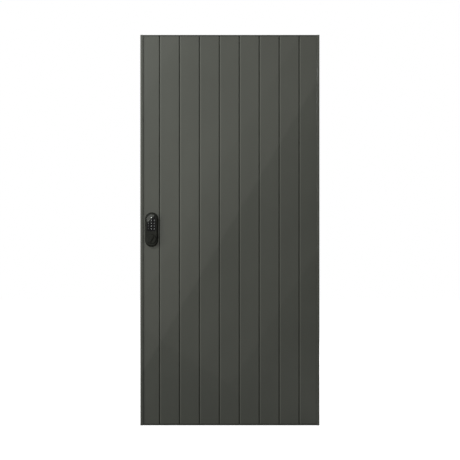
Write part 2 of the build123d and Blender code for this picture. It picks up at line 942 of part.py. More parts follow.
with BuildPart() as faceplate:
    with BuildSketch(lock_edge_face.offset(-faceplate_thickness)):
        with Locations((-core_middle, spindle_height)):
            Rectangle(faceplate_width, faceplate_height)
            Rectangle(
                bolt_depth + 2 * case_opening_clearance,
                bolt_height + 2 * case_opening_clearance,
                mode=Mode.SUBTRACT,
            )
    extrude(amount=faceplate_thickness)
    with Locations(lock_edge_face):
        with Locations(*faceplate_screw_points):
            CounterSinkHole(
                lock_screw_radius + screw_clearance,
                lock_screw_head_radius,
                depth=edge_wall,
                counter_sink_angle=countersink_angle,
            )
finish(faceplate, "faceplate")

with BuildPart() as faceplate_screws:
    with Locations(lock_edge_face):
        with Locations(*faceplate_screw_points):
            countersunk_screw(lock_screw_radius, lock_screw_head_radius, faceplate_screw_length)
finish(faceplate_screws, "faceplate_screws")

with BuildPart() as deadbolt:
    with BuildSketch(lock_edge_section(core_middle + bolt_depth / 2)):
        with BuildLine():
            Polyline(
                (faceplate_clearance, -bolt_height / 2),
                (bolt_head_length, -bolt_height / 2),
                (bolt_head_length, tail_floor),
                (notch_centre - notch_half, tail_floor),
                (notch_centre - notch_half, notch_top),
                (notch_centre + notch_half, notch_top),
                (notch_centre + notch_half, tail_floor),
                (notch_centre + notch_half + tail_end, tail_floor),
                (notch_centre + notch_half + tail_end, tail_top),
                (bolt_neck_start, tail_top),
                (bolt_neck_start, bolt_height / 2),
                (faceplate_clearance, bolt_height / 2),
                close=True,
            )
        make_face()
    extrude(amount=bolt_depth)
finish(deadbolt, "deadbolt")


def blade_slot(grow=0.0):
    # The section of the flat blade that joins the turn to the cam and the knob.
    return Rectangle(blade_thickness + 2 * grow, blade_width + 2 * grow, mode=Mode.PRIVATE)


with BuildPart() as bolt_cam:
    with BuildSketch(outside_plane(core_middle + case_depth / 2)):
        Circle(cam_hub_radius)
    extrude(amount=case_depth)
    with BuildSketch(outside_plane(core_middle + cam_arm_thickness / 2)):
        with PolarLocations(cam_radius / 2, 1, start_angle=cam_angle_at_rest):
            Rectangle(cam_radius, cam_arm_width)
        with PolarLocations(cam_radius, 1, start_angle=cam_angle_at_rest):
            Circle(cam_finger_radius)
    extrude(amount=cam_arm_thickness)
    with BuildSketch(outside_plane(core_middle + case_depth / 2)):
        add(blade_slot(blade_clearance))
    extrude(amount=case_depth, mode=Mode.SUBTRACT)
finish(bolt_cam, "bolt_cam")

blade_start = outer_base - blade_entry
blade_end = inner_base + blade_entry
with BuildPart() as turn_blade:
    with BuildSketch(outside_plane(blade_end)):
        add(blade_slot())
    extrude(amount=blade_end - blade_start)
finish(turn_blade, "turn_blade")

# Lock outside
indicator_height = lock_rise + lock_height / 2 - outer_lock_taper - glass_border - indicator_drop

with BuildPart() as outer_gasket:
    with BuildSketch(outside_plane(leaf_face)):
        capsule()
        with Locations((0, lock_rise)):
            SlotOverall(
                lock_height - 2 * gasket_band, lock_width - 2 * gasket_band, rotation=90, mode=Mode.SUBTRACT
            )
    extrude(amount=gasket_thickness)
finish(outer_gasket, "outer_gasket")

with BuildPart() as outer_housing:
    drafted_capsule(outside_plane(outer_base), outer_lock_depth, outer_lock_taper)
    hollow_capsule(outside_plane(outer_base), outer_lock_depth, outer_lock_taper)
    with BuildSketch(outside_plane(outer_base)):
        with Locations(*through_bolt_points):
            Circle(post_radius)
        Circle(boss_radius)
    extrude(amount=outer_lock_depth - lock_front_wall)
    with BuildSketch(outside_plane(outer_nose)):
        arch(outer_lock_taper)
    extrude(amount=-glass_thickness, mode=Mode.SUBTRACT)
    with BuildSketch(outside_plane(outer_nose)):
        with Locations((0, circuit_board_foot + circuit_board_height / 2)):
            Rectangle(circuit_board_width - 2 * glass_ledge, circuit_board_height - 2 * glass_ledge)
    extrude(amount=-lock_front_wall, mode=Mode.SUBTRACT)
    with BuildSketch(outside_plane(outer_nose)):
        Circle(knob_radius + knob_recess_clearance)
    extrude(amount=-knob_recess_depth, mode=Mode.SUBTRACT)
    with BuildSketch(outside_plane(outer_base)):
        with Locations(*through_bolt_points):
            Circle(through_bolt_radius)
    extrude(amount=post_screw_depth, mode=Mode.SUBTRACT)
    with Locations(outside_plane(outer_nose)):
        Cylinder(knob_shaft_radius + turn_play, 4 * outer_lock_depth, mode=Mode.SUBTRACT)
finish(outer_housing, "outer_housing")

with BuildPart() as keypad_glass:
    with BuildSketch(outside_plane(outer_nose + glass_thickness)):
        arch(outer_lock_taper, -joint_clearance)
        with Locations((0, indicator_height)):
            Circle(indicator_radius, mode=Mode.SUBTRACT)
    extrude(amount=glass_thickness)
finish(keypad_glass, "keypad_glass")

with BuildPart() as indicator_lens:
    with BuildSketch(outside_plane(outer_nose + glass_thickness)):
        with Locations((0, indicator_height)):
            Circle(indicator_radius)
    extrude(amount=glass_thickness)
finish(indicator_lens, "indicator_lens")

circuit_board_front = outer_nose + lock_front_wall
with BuildPart() as keypad_circuit_board:
    with BuildSketch(outside_plane(circuit_board_front + circuit_board_thickness)):
        with Locations((0, circuit_board_foot + circuit_board_height / 2)):
            Rectangle(circuit_board_width, circuit_board_height)
    extrude(amount=circuit_board_thickness)
finish(keypad_circuit_board, "keypad_circuit_board")

cable_start = circuit_board_front + circuit_board_thickness
with BuildPart() as lock_cable:
    with BuildSketch(outside_plane(inner_base + cable_reach)):
        with Locations((0, cable_height)):
            Circle(cable_radius)
    extrude(amount=inner_base + cable_reach - cable_start)
finish(lock_cable, "lock_cable")

knob_foot = outer_nose + knob_recess_depth - turn_stand_off
knob_face = outer_nose - knob_proud
with BuildPart() as outer_knob:
    with BuildSketch(outside_plane(knob_foot)):
        Circle(knob_radius)
    extrude(amount=knob_foot - knob_face)
    fillet(faces().sort_by(Axis.Y)[0].edges(), knob_edge_radius)
    with BuildSketch(outside_plane(knob_face)):
        SlotOverall(knob_ridge_length, knob_ridge_width, rotation=knob_ridge_angle)
    extrude(amount=knob_ridge_height, taper=knob_ridge_taper)
    with BuildSketch(outside_plane(outer_base)):
        Circle(knob_shaft_radius)
    extrude(amount=outer_base - knob_foot)
    with BuildSketch(outside_plane(outer_base)):
        add(blade_slot(blade_clearance))
    extrude(amount=blade_entry + blade_clearance, mode=Mode.SUBTRACT)
finish(outer_knob, "outer_knob")

# Lock inside
with BuildPart() as inner_back_plate:
    with BuildSketch(inside_plane(leaf_back)):
        capsule(lock_wall / 2)
        Circle(turn_shaft_radius + screw_clearance, mode=Mode.SUBTRACT)
        with Locations(*through_bolt_points):
            Circle(through_bolt_radius + screw_clearance, mode=Mode.SUBTRACT)
        with Locations((0, cable_height)):
            Circle(cable_radius + screw_clearance, mode=Mode.SUBTRACT)
    extrude(amount=back_plate_thickness)
finish(inner_back_plate, "inner_back_plate")

shelf_half = lock_width / 2 - inner_lock_taper
shelf_start = inner_base + cell_stand_off
shelf_end = inner_nose - lock_front_wall
with BuildPart() as inner_housing:
    drafted_capsule(inside_plane(inner_base), inner_lock_depth, inner_lock_taper)
    hollow_capsule(inside_plane(inner_base), inner_lock_depth, inner_lock_taper)
    with BuildSketch(inside_plane(inner_base)):
        Circle(boss_radius)
    extrude(amount=inner_lock_depth - lock_front_wall)
    for low, high in ((shelf_foot, shelf_top), (upper_shelf_foot, upper_shelf_foot + shelf_thickness)):
        block(
            (lock_x - shelf_half, shelf_start, spindle_height + low),
            (lock_x + shelf_half, shelf_end, spindle_height + high),
        )
    with BuildSketch(inside_plane(inner_nose)):
        arch(inner_lock_taper)
    extrude(amount=-battery_cover_thickness, mode=Mode.SUBTRACT)
    with BuildSketch(inside_plane(inner_nose)):
        arch(inner_lock_taper, -glass_ledge)
    extrude(amount=-lock_front_wall, mode=Mode.SUBTRACT)
    with Locations(inside_plane(inner_nose)):
        Cylinder(turn_shaft_radius + turn_play, 4 * inner_lock_depth, mode=Mode.SUBTRACT)
finish(inner_housing, "inner_housing")

with BuildPart() as battery_cover:
    with BuildSketch(inside_plane(inner_nose - battery_cover_thickness)):
        arch(inner_lock_taper, -joint_clearance)
    extrude(amount=battery_cover_thickness)
finish(battery_cover, "battery_cover")

cell_y = inner_base + cell_stand_off + cell_radius
cell_places = [
    (lock_x + (n - (cell_count - 1) / 2) * cell_pitch, cell_y) for n in range(cell_count)
]
with BuildPart() as battery_cells:
    with BuildSketch(Plane.XY.offset(spindle_height + cell_foot)):
        with Locations(*cell_places):
            Circle(cell_radius)
    extrude(amount=cell_length)
finish(battery_cells, "battery_cells")

with BuildPart() as battery_contacts:
    for level in (shelf_top, cell_foot + cell_length):
        block(
            (
                cell_places[0][0] - cell_radius / 2,
                cell_y - cell_radius / 2,
                spindle_height + level,
            ),
            (
                cell_places[-1][0] + cell_radius / 2,
                cell_y + cell_radius / 2,
                spindle_height + level + contact_thickness,
            ),
        )
finish(battery_contacts, "battery_contacts")

with BuildPart() as lock_through_bolts:
    with Locations(inside_plane(inner_base)):
        with Locations(*through_bolt_points):
            Cylinder(
                through_bolt_head_radius,
                through_bolt_head_height,
                align=(Align.CENTER, Align.CENTER, Align.MIN),
            )
            Cylinder(
                through_bolt_radius,
                inner_base - outer_base + post_screw_depth,
                align=(Align.CENTER, Align.CENTER, Align.MAX),
            )
finish(lock_through_bolts, "lock_through_bolts")

with BuildPart() as thumb_turn:
    with BuildSketch(inside_plane(inner_nose + turn_stand_off)):
        Circle(turn_flange_radius)
    extrude(amount=turn_flange_height)
    with BuildSketch(inside_plane(inner_nose + turn_stand_off + turn_flange_height)):
        SlotOverall(turn_grip_length, turn_grip_width, rotation=turn_grip_angle)
    extrude(amount=turn_grip_height, taper=turn_grip_taper)
    with BuildSketch(inside_plane(inner_base)):
        Circle(turn_shaft_radius)
    extrude(amount=inner_lock_depth + turn_stand_off)
    with BuildSketch(inside_plane(inner_base)):
        add(blade_slot(blade_clearance))
    extrude(amount=blade_entry + blade_clearance, mode=Mode.SUBTRACT)
finish(thumb_turn, "thumb_turn")

# Pull handle on the inside
with BuildPart() as pull_handle:
    low, high = (spindle_height + foot for foot in handle_foot_heights)
    grip = leaf_back + handle_projection
    with BuildLine() as handle_path:
        FilletPolyline(
            (lock_x, leaf_back + handle_foot_thickness / 2, low),
            (lock_x, grip, low),
            (lock_x, grip, high),
            (lock_x, leaf_back + handle_foot_thickness / 2, high),
            radius=handle_bend_radius,
        )
    with BuildSketch(Plane(origin=handle_path.line @ 0, z_dir=(0, 1, 0))):
        Circle(handle_bar_radius)
    sweep()
    with BuildSketch(inside_plane(leaf_back)):
        with Locations(*[(0, foot) for foot in handle_foot_heights]):
            SlotOverall(handle_foot_height, handle_foot_width, rotation=90)
    extrude(amount=handle_foot_thickness)
    with Locations(inside_plane(leaf_back + handle_foot_thickness)):
        with Locations(*handle_screw_points):
            CounterSinkHole(
                handle_screw_radius + screw_clearance,
                handle_screw_head_radius,
                depth=2 * handle_foot_thickness,
                counter_sink_angle=countersink_angle,
            )
finish(pull_handle, "pull_handle")

with BuildPart() as handle_screws:
    with Locations(inside_plane(leaf_back + handle_foot_thickness)):
        with Locations(*handle_screw_points):
            countersunk_screw(handle_screw_radius, handle_screw_head_radius, handle_screw_length)
finish(handle_screws, "handle_screws")
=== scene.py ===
import json
import math

import bmesh
import bpy
import numpy as np
from mathutils import Matrix, Vector


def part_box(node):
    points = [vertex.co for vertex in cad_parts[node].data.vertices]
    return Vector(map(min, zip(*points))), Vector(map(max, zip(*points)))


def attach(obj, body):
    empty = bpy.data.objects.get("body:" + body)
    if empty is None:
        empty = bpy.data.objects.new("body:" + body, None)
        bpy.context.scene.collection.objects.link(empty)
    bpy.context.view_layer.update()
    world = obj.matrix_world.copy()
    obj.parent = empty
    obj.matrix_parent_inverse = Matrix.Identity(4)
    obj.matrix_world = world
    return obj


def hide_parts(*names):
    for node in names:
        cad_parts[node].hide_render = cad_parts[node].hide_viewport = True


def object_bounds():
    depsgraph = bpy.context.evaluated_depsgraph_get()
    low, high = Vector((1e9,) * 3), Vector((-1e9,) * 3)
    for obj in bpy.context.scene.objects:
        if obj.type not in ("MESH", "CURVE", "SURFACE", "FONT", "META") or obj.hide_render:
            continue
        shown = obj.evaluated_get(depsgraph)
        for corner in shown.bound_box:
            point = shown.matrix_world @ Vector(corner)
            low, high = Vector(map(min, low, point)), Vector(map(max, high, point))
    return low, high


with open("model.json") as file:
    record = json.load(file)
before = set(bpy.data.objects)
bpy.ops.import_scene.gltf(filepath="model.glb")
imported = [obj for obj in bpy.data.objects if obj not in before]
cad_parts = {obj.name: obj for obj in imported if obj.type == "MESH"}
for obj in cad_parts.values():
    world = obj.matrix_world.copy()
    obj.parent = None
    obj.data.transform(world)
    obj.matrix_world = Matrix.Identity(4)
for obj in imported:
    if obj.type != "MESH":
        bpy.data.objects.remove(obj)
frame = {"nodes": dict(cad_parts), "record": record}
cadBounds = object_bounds()
record = frame["record"]
print("frame loaded:", len(frame["nodes"]), "nodes")

# Shared helpers
seam = {"weldReach": 1e-7, "shortestEdge": 1e-8}


def surfacePiece(name, grids, body, finish):
    # Each grid holds points by (step along, step around). Neighbouring points are joined by quads,
    # the last step around meets the first, and rings that shrink to a point become closed poles.
    grids = np.asarray(grids, float)
    count, rows, columns = grids.shape[:3]
    index = np.arange(count * rows * columns).reshape(count, rows, columns)
    index = np.concatenate([index, index[:, :, :1]], axis=2)
    quads = np.stack([index[:, :-1, :-1], index[:, :-1, 1:], index[:, 1:, 1:], index[:, 1:, :-1]], axis=-1)
    quads = quads.reshape(-1, 4)
    mesh = bpy.data.meshes.new(name)
    mesh.vertices.add(count * rows * columns)
    mesh.vertices.foreach_set("co", grids.reshape(-1).astype(np.float32))
    mesh.loops.add(quads.size)
    mesh.loops.foreach_set("vertex_index", quads.reshape(-1).astype(np.int32))
    mesh.polygons.add(len(quads))
    mesh.polygons.foreach_set("loop_start", (np.arange(len(quads)) * 4).astype(np.int32))
    mesh.update(calc_edges=True)
    tidy = bmesh.new()
    tidy.from_mesh(mesh)
    bmesh.ops.remove_doubles(tidy, verts=tidy.verts, dist=seam["weldReach"])
    bmesh.ops.dissolve_degenerate(tidy, edges=tidy.edges, dist=seam["shortestEdge"])
    bmesh.ops.recalc_face_normals(tidy, faces=tidy.faces)
    tidy.to_mesh(mesh)
    tidy.free()
    mesh.polygons.foreach_set("use_smooth", np.ones(len(mesh.polygons), bool))
    piece = bpy.data.objects.new(name, mesh)
    bpy.context.scene.collection.objects.link(piece)
    piece.data.materials.append(finishes[finish])
    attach(piece, body)
    return piece


def softStep(x):
    # 0 below 0, 1 above 1, with a smooth S between them
    x = np.clip(x, 0, 1)
    return x * x * (3 - 2 * x)


def seededWave(along, seed, waves, longest):
    # a sum of sines whose lengths run from the longest down, with seeded phases: smooth noise in -1..1
    phases = np.random.default_rng(seed).uniform(0, 2 * np.pi, waves)
    total = np.zeros_like(along)
    for n, phase in enumerate(phases):
        total += np.sin(2 * np.pi * along * (n + 1) / longest + phase) / waves
    return total


# Materials. Each pair of tones gives the darkest and the palest share of a finish's colour, each pair of
# swings says how far its roughness falls and rises, and each detail gives a noise's detail and roughness.
texture = {
    "cloudDetail": (3.0, 0.6), "coatDetail": (2.0, 0.6), "skinDetail": (2.0, 0.5), "metalDetail": (4.0, 0.7),
    "glowDetail": (1.0, 0.5),
    "coatTones": (0.93, 1.07), "coatSwing": (0.05, 0.05), "metalTones": (0.88, 1.1), "metalSwing": (0.08, 0.1),
    "skinTones": (0.85, 1.15), "skinSwing": 0.15, "glowTone": 0.8, "glowRoughness": 0.3,
    "grainHeight": 0.0001, "scratchHeight": 0.00005, "plainTone": 0.5,
    "trackWidth": (0.04, 0.08), "trackRelief": 0.3, "boardRoughness": 0.35,
}


def startFinish(name):
    material = bpy.data.materials.new(name)
    material.use_nodes = True
    tree = material.node_tree
    tree.nodes.clear()
    output = tree.nodes.new("ShaderNodeOutputMaterial")
    shader = tree.nodes.new("ShaderNodeBsdfPrincipled")
    tree.links.new(shader.outputs["BSDF"], output.inputs["Surface"])
    return material, tree, shader


def noise(tree, scale, detail=2.0, roughness=0.5, shift=(0, 0, 0)):
    # noise on Object coordinates; scale gives its cells for each metre along X, Y and Z
    place = tree.nodes.new("ShaderNodeTexCoord")
    mapping = tree.nodes.new("ShaderNodeMapping")
    mapping.inputs["Scale"].default_value = scale
    mapping.inputs["Location"].default_value = shift
    cloud = tree.nodes.new("ShaderNodeTexNoise")
    cloud.inputs["Scale"].default_value = 1.0
    cloud.inputs["Detail"].default_value = detail
    cloud.inputs["Roughness"].default_value = roughness
    tree.links.new(place.outputs["Object"], mapping.inputs["Vector"])
    tree.links.new(mapping.outputs["Vector"], cloud.inputs["Vector"])
    return cloud.outputs["Fac"]


def spread(tree, value, low, high, start=0.3, end=0.7):
    # carries a value from start..end to low..high
    node = tree.nodes.new("ShaderNodeMapRange")
    node.inputs["From Min"].default_value = start
    node.inputs["From Max"].default_value = end
    node.inputs["To Min"].default_value = low
    node.inputs["To Max"].default_value = high
    tree.links.new(value, node.inputs["Value"])
    return node.outputs["Result"]


def tones(tree, value, first, second, start=0.35, end=0.65):
    # a colour that runs from the first tone to the second
    node = tree.nodes.new("ShaderNodeValToRGB")
    node.color_ramp.elements[0].position = start
    node.color_ramp.elements[0].color = (*first, 1)
    node.color_ramp.elements[1].position = end
    node.color_ramp.elements[1].color = (*second, 1)
    tree.links.new(value, node.inputs["Fac"])
    return node.outputs["Color"]


def relief(tree, shader, value, strength, distance):
    node = tree.nodes.new("ShaderNodeBump")
    node.inputs["Strength"].default_value = strength
    node.inputs["Distance"].default_value = distance
    tree.links.new(value, node.inputs["Height"])
    tree.links.new(node.outputs["Normal"], shader.inputs["Normal"])


def roughened(tree, shader, value, roughness, swing):
    # roughness that falls and rises with a noise value by the two swings
    varied = spread(tree, value, roughness - swing[0], roughness + swing[1])
    tree.links.new(varied, shader.inputs["Roughness"])


def shaded(colour, factor):
    return tuple(min(1.0, c * factor) for c in colour)


def mottled(tree, value, colour, shares):
    return tones(tree, value, shaded(colour, shares[0]), shaded(colour, shares[1]))


def alongX(tree):
    # a point's place along the object's own X
    place = tree.nodes.new("ShaderNodeTexCoord")
    parts = tree.nodes.new("ShaderNodeSeparateXYZ")
    tree.links.new(place.outputs["Object"], parts.inputs[0])
    return parts.outputs["X"]


def maths(tree, operation, first, second):
    node = tree.nodes.new("ShaderNodeMath")
    node.operation = operation
    for socket, value in zip(node.inputs, (first, second)):
        if isinstance(value, (int, float)):
            socket.default_value = value
        else:
            tree.links.new(value, socket)
    return node.outputs[0]


def jointLightAndShade(tree, joints):
    # How far a point lies past the last joint between boards, as a share of one board: the joint gets painted
    # shade, and the leading edge just after it gets a painted highlight. The plain tone changes nothing.
    past = maths(tree, "SUBTRACT", alongX(tree), joints["first"])
    share = maths(tree, "FLOORED_MODULO", maths(tree, "DIVIDE", past, joints["cover"]), 1.0)
    ramp = tree.nodes.new("ShaderNodeValToRGB")
    cover, soft, plain = joints["cover"], joints["soft"], texture["plainTone"]
    stops = ramp.color_ramp.elements
    stops.remove(stops[1])
    stops[0].position = 0.0
    stops[0].color = (joints["paintedShade"],) * 3 + (1,)
    for distance, tone in (
        (joints["shadeAfter"], joints["paintedShade"]), (joints["shadeAfter"] + soft, joints["paintedHighlight"]),
        (joints["highlightEnd"], joints["paintedHighlight"]), (joints["highlightEnd"] + soft, plain),
        (cover - joints["shadeBefore"] - soft, plain), (cover - joints["shadeBefore"], joints["paintedShade"]),
    ):
        stops.new(distance / cover).color = (tone, tone, tone, 1)
    tree.links.new(share, ramp.inputs["Fac"])
    return ramp.outputs["Color"]


def powderCoat(name, values):
    # a fine orange-peel skin with a thin gloss on top, and faint clouds in its colour
    material, tree, shader = startFinish(name)
    clouds = noise(tree, values["cloudScale"], *texture["cloudDetail"], values["shift"])
    colour = mottled(tree, clouds, values["colour"], texture["coatTones"])
    # Painted shade along the joints and a painted highlight just past them, raised back so the plain tone keeps
    # the colour
    if "joints" in values:
        mix = tree.nodes.new("ShaderNodeVectorMath")
        mix.operation = "MULTIPLY"
        tree.links.new(colour, mix.inputs[0])
        tree.links.new(jointLightAndShade(tree, values["joints"]), mix.inputs[1])
        raised = tree.nodes.new("ShaderNodeVectorMath")
        raised.operation = "SCALE"
        raised.inputs["Scale"].default_value = 1 / texture["plainTone"]
        tree.links.new(mix.outputs[0], raised.inputs[0])
        colour = raised.outputs[0]
    tree.links.new(colour, shader.inputs["Base Color"])
    grain = noise(tree, (values["grain"],) * 3, *texture["coatDetail"])
    roughened(tree, shader, grain, values["roughness"], texture["coatSwing"])
    relief(tree, shader, grain, values["reliefStrength"], texture["grainHeight"])
    shader.inputs["Specular IOR Level"].default_value = values["specular"]
    shader.inputs["Coat Weight"].default_value = values["gloss"]
    shader.inputs["Coat Roughness"].default_value = values["glossRoughness"]
    return material


def brushedMetal(name, values):
    # fine parallel scratches that run along Z, with slow changes of sheen
    material, tree, shader = startFinish(name)
    across = values["scratches"]
    scratches = noise(tree, (across, across, values["alongScale"]), *texture["metalDetail"])
    colour = mottled(tree, scratches, values["colour"], texture["metalTones"])
    tree.links.new(colour, shader.inputs["Base Color"])
    roughened(tree, shader, scratches, values["roughness"], texture["metalSwing"])
    relief(tree, shader, scratches, values["reliefStrength"], texture["scratchHeight"])
    shader.inputs["Metallic"].default_value = 1.0
    return material


def mouldedSkin(name, values):
    # an even fine texture, as on moulded plastic, rubber and cast housings
    material, tree, shader = startFinish(name)
    clouds = noise(tree, (values["cloudScale"],) * 3, *texture["cloudDetail"])
    colour = mottled(tree, clouds, values["colour"], texture["skinTones"])
    tree.links.new(colour, shader.inputs["Base Color"])
    grain = noise(tree, (values["grain"],) * 3, *texture["skinDetail"])
    swing = values["roughness"] * texture["skinSwing"]
    roughened(tree, shader, grain, values["roughness"], (swing, swing))
    relief(tree, shader, grain, values["reliefStrength"], texture["grainHeight"])
    shader.inputs["Specular IOR Level"].default_value = values["specular"]
    shader.inputs["Coat Weight"].default_value = values.get("gloss", 0.0)
    shader.inputs["Coat Roughness"].default_value = values.get("glossRoughness", 0.03)
    return material


def litMark(name, values):
    # a lamp behind a printed mark: a soft glow, a little uneven, that dims along X on both sides of its
    # brightest place; this dimming is painted shade for glare over the glass
    material, tree, shader = startFinish(name)
    glow = noise(tree, (values["cloudScale"],) * 3, *texture["glowDetail"])
    colour = tones(tree, glow, shaded(values["colour"], texture["glowTone"]), values["colour"])
    tree.links.new(colour, shader.inputs["Emission Color"])
    shader.inputs["Base Color"].default_value = (*shaded(values["colour"], values["bodyShare"]), 1)
    x = alongX(tree)
    dim, bright = values["dimAt"], values["brightAt"]
    low = values["strength"] * values["dimShare"]
    strength = spread(tree, x, low, values["strength"], dim, bright)
    if "farAt" in values:
        fade = spread(tree, x, 1, values["farShare"], bright, values["farAt"])
        strength = maths(tree, "MULTIPLY", strength, fade)
    tree.links.new(strength, shader.inputs["Emission Strength"])
    shader.inputs["Roughness"].default_value = texture["glowRoughness"]
    return material


def circuitSkin(name, values):
    # solder mask with paler tracks on a square grid of cells
    material, tree, shader = startFinish(name)
    place = tree.nodes.new("ShaderNodeTexCoord")
    cells = tree.nodes.new("ShaderNodeTexVoronoi")
    cells.distance = "CHEBYCHEV"
    cells.feature = "DISTANCE_TO_EDGE"
    cells.inputs["Scale"].default_value = values["cells"]
    tree.links.new(place.outputs["Object"], cells.inputs["Vector"])
    colour = tones(tree, cells.outputs["Distance"], values["track"], values["colour"], *texture["trackWidth"])
    tree.links.new(colour, shader.inputs["Base Color"])
    relief(tree, shader, cells.outputs["Distance"], texture["trackRelief"], texture["grainHeight"])
    shader.inputs["Roughness"].default_value = texture["boardRoughness"]
    return material


coating = {
    "colour": (0.055, 0.057, 0.0455), "cloudScale": (3.0, 3.0, 1.5), "shift": (0, 0, 0), "grain": 1400.0,
    "roughness": 0.45, "reliefStrength": 0.25, "specular": 0.06, "gloss": 0.25, "glossRoughness": 0.03,
}
boardEdges = [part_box(name)[0].x for name in ("outer_board_2", "outer_board_3")]
# Painted shade in each joint between boards and a painted highlight on the edge just past it
boardJoints = {
    "first": boardEdges[0], "cover": boardEdges[1] - boardEdges[0],
    "shadeBefore": 0.0035, "shadeAfter": 0.0032, "highlightEnd": 0.0078, "soft": 0.0005, "paintedHighlight": 0.78, "paintedShade": 0.3,
}
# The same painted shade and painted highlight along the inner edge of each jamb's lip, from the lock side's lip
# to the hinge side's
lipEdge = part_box("jamb_hinge_side")[0].x
lipJoints = {
    "first": -lipEdge, "cover": 2 * lipEdge,
    "shadeBefore": 0.001, "shadeAfter": 0.0001, "highlightEnd": 0.003, "soft": 0.0005, "paintedHighlight": 0.85, "paintedShade": 0.5,
}
finishes = {
    "board_coating": powderCoat("boardCoating", {**coating, "joints": boardJoints}),
    "frame_coating": powderCoat("frameCoating", {**coating, "shift": (5, 2, 1), "joints": lipJoints}),
    "mill_aluminium": brushedMetal("millAluminium", {
        "colour": (0.5, 0.505, 0.51), "scratches": 700.0, "alongScale": 6.0, "roughness": 0.38,
        "reliefStrength": 0.3,
    }),
    "insulation": mouldedSkin("insulationFoam", {
        "colour": (0.78, 0.72, 0.55), "cloudScale": 90.0, "grain": 900.0, "roughness": 0.85,
        "reliefStrength": 0.9, "specular": 0.2,
    }),
    "break_plastic": mouldedSkin("breakPlastic", {
        "colour": (0.024, 0.024, 0.024), "cloudScale": 50.0, "grain": 1800.0, "roughness": 0.5,
        "reliefStrength": 0.2, "specular": 0.35,
    }),
    "seal_rubber": mouldedSkin("sealRubber", {
        "colour": (0.016, 0.016, 0.016), "cloudScale": 60.0, "grain": 2500.0, "roughness": 0.6,
        "reliefStrength": 0.2, "specular": 0.35,
    }),
    "brush_pile": mouldedSkin("brushPile", {
        "colour": (0.022, 0.022, 0.024), "cloudScale": 2200.0, "grain": 3500.0, "roughness": 0.8,
        "reliefStrength": 0.9, "specular": 0.2,
    }),
    "stainless_steel": brushedMetal("brushedStainless", {
        "colour": (0.42, 0.42, 0.41), "scratches": 2600.0, "alongScale": 25.0, "roughness": 0.34,
        "reliefStrength": 0.3,
    }),
    "zinc_plated_steel": brushedMetal("zincPlate", {
        "colour": (0.5, 0.51, 0.5), "scratches": 260.0, "alongScale": 180.0, "roughness": 0.36,
        "reliefStrength": 0.15,
    }),
    "bolt_brass": brushedMetal("boltBrass", {
        "colour": (0.66, 0.5, 0.25), "scratches": 1800.0, "alongScale": 40.0, "roughness": 0.3,
        "reliefStrength": 0.25,
    }),
    "lock_black": mouldedSkin("lockBlack", {
        "colour": (0.0175, 0.018, 0.0147), "cloudScale": 35.0, "grain": 3000.0, "roughness": 0.4,
        "reliefStrength": 0.12, "specular": 0.035,
    }),
    "lock_plastic": mouldedSkin("lockPlastic", {
        "colour": (0.017, 0.017, 0.017), "cloudScale": 40.0, "grain": 2200.0, "roughness": 0.55,
        "reliefStrength": 0.3, "specular": 0.4,
    }),
    "keypad_glass": mouldedSkin("keypadGlass", {
        "colour": (0.006, 0.006, 0.006), "cloudScale": 30.0, "grain": 900.0, "roughness": 0.03,
        "reliefStrength": 0.002, "specular": 0.035,
    }),
    "indicator": litMark("indicatorGlow", {
        "colour": (0.88, 0.92, 0.88), "cloudScale": 900.0, "strength": 1.7, "dimShare": 0.9, "dimAt": -0.43,
        "brightAt": -0.421, "bodyShare": 0.3,
    }),
    "circuit_board": circuitSkin("circuitBoard", {
        "colour": (0.012, 0.09, 0.04), "track": (0.06, 0.22, 0.1), "cells": 260.0,
    }),
    "cable_sheath": mouldedSkin("cableSheath", {
        "colour": (0.018, 0.018, 0.018), "cloudScale": 200.0, "grain": 2500.0, "roughness": 0.5,
        "reliefStrength": 0.2, "specular": 0.4,
    }),
    "cell_sleeve": mouldedSkin("cellSleeve", {
        "colour": (0.12, 0.12, 0.13), "cloudScale": 80.0, "grain": 1500.0, "roughness": 0.25,
        "reliefStrength": 0.05, "specular": 0.5, "gloss": 0.6,
    }),
}
for part in record["subparts"]:
    node = frame["nodes"][part["node"]]
    node.data.materials.clear()
    node.data.materials.append(finishes[part["material_slot"]])
print("finishes assigned:", len(finishes))

# Countersunk screws with a six-lobed recess and a cut thread
screw = {
    "recessRadius": 0.5, "lobes": 6, "lobeDepth": 0.14, "recessDepth": 0.75, "recessEdge": 0.12,
    "pitch": 0.45, "threadDepth": 0.1, "headSteps": 18, "threadSteps": 30, "aroundSteps": 36,
}


def screwGrid(place, axis, shankRadius, headRadius, length):
    # A profile carried round an axis: across the head, down its cone, along the shank and to a point.
    # The head's depth drops inside a rim whose radius swings with the cosine of six times the angle;
    # the shank's radius rises and falls with the fraction of a turn, which cuts the thread.
    turn = np.linspace(0, 2 * np.pi, screw["aroundSteps"], endpoint=False)
    headHeight = headRadius - shankRadius
    headR = np.linspace(0, headRadius, screw["headSteps"])[:, None]
    rim = headRadius * screw["recessRadius"] * (1 + screw["lobeDepth"] * np.cos(screw["lobes"] * turn))
    sunk = softStep((rim - headR) / (headRadius * screw["recessEdge"]))
    headDepth = sunk * screw["recessDepth"] * headHeight
    headRing = headR + np.zeros_like(headDepth)
    down = np.linspace(headHeight, length - shankRadius, screw["threadSteps"])[:, None]
    pitch = screw["pitch"] * shankRadius
    crest = np.abs(((down / pitch - turn / (2 * np.pi)) % 1) * 2 - 1)
    shankRing = shankRadius * (1 - screw["threadDepth"] * crest)
    shankDepth = down + np.zeros_like(shankRing)
    tipRing = np.zeros((1, len(turn)))
    ring = np.concatenate([headRing, shankRing, tipRing])
    depth = np.concatenate([headDepth, shankDepth, tipRing + length])
    axis = Vector(axis)
    side = axis.orthogonal().normalized()
    other = axis.cross(side)
    return (
        np.array(place)
        + depth[..., None] * np.array(axis)
        + (ring * np.cos(turn))[..., None] * np.array(side)
        + (ring * np.sin(turn))[..., None] * np.array(other)
    )


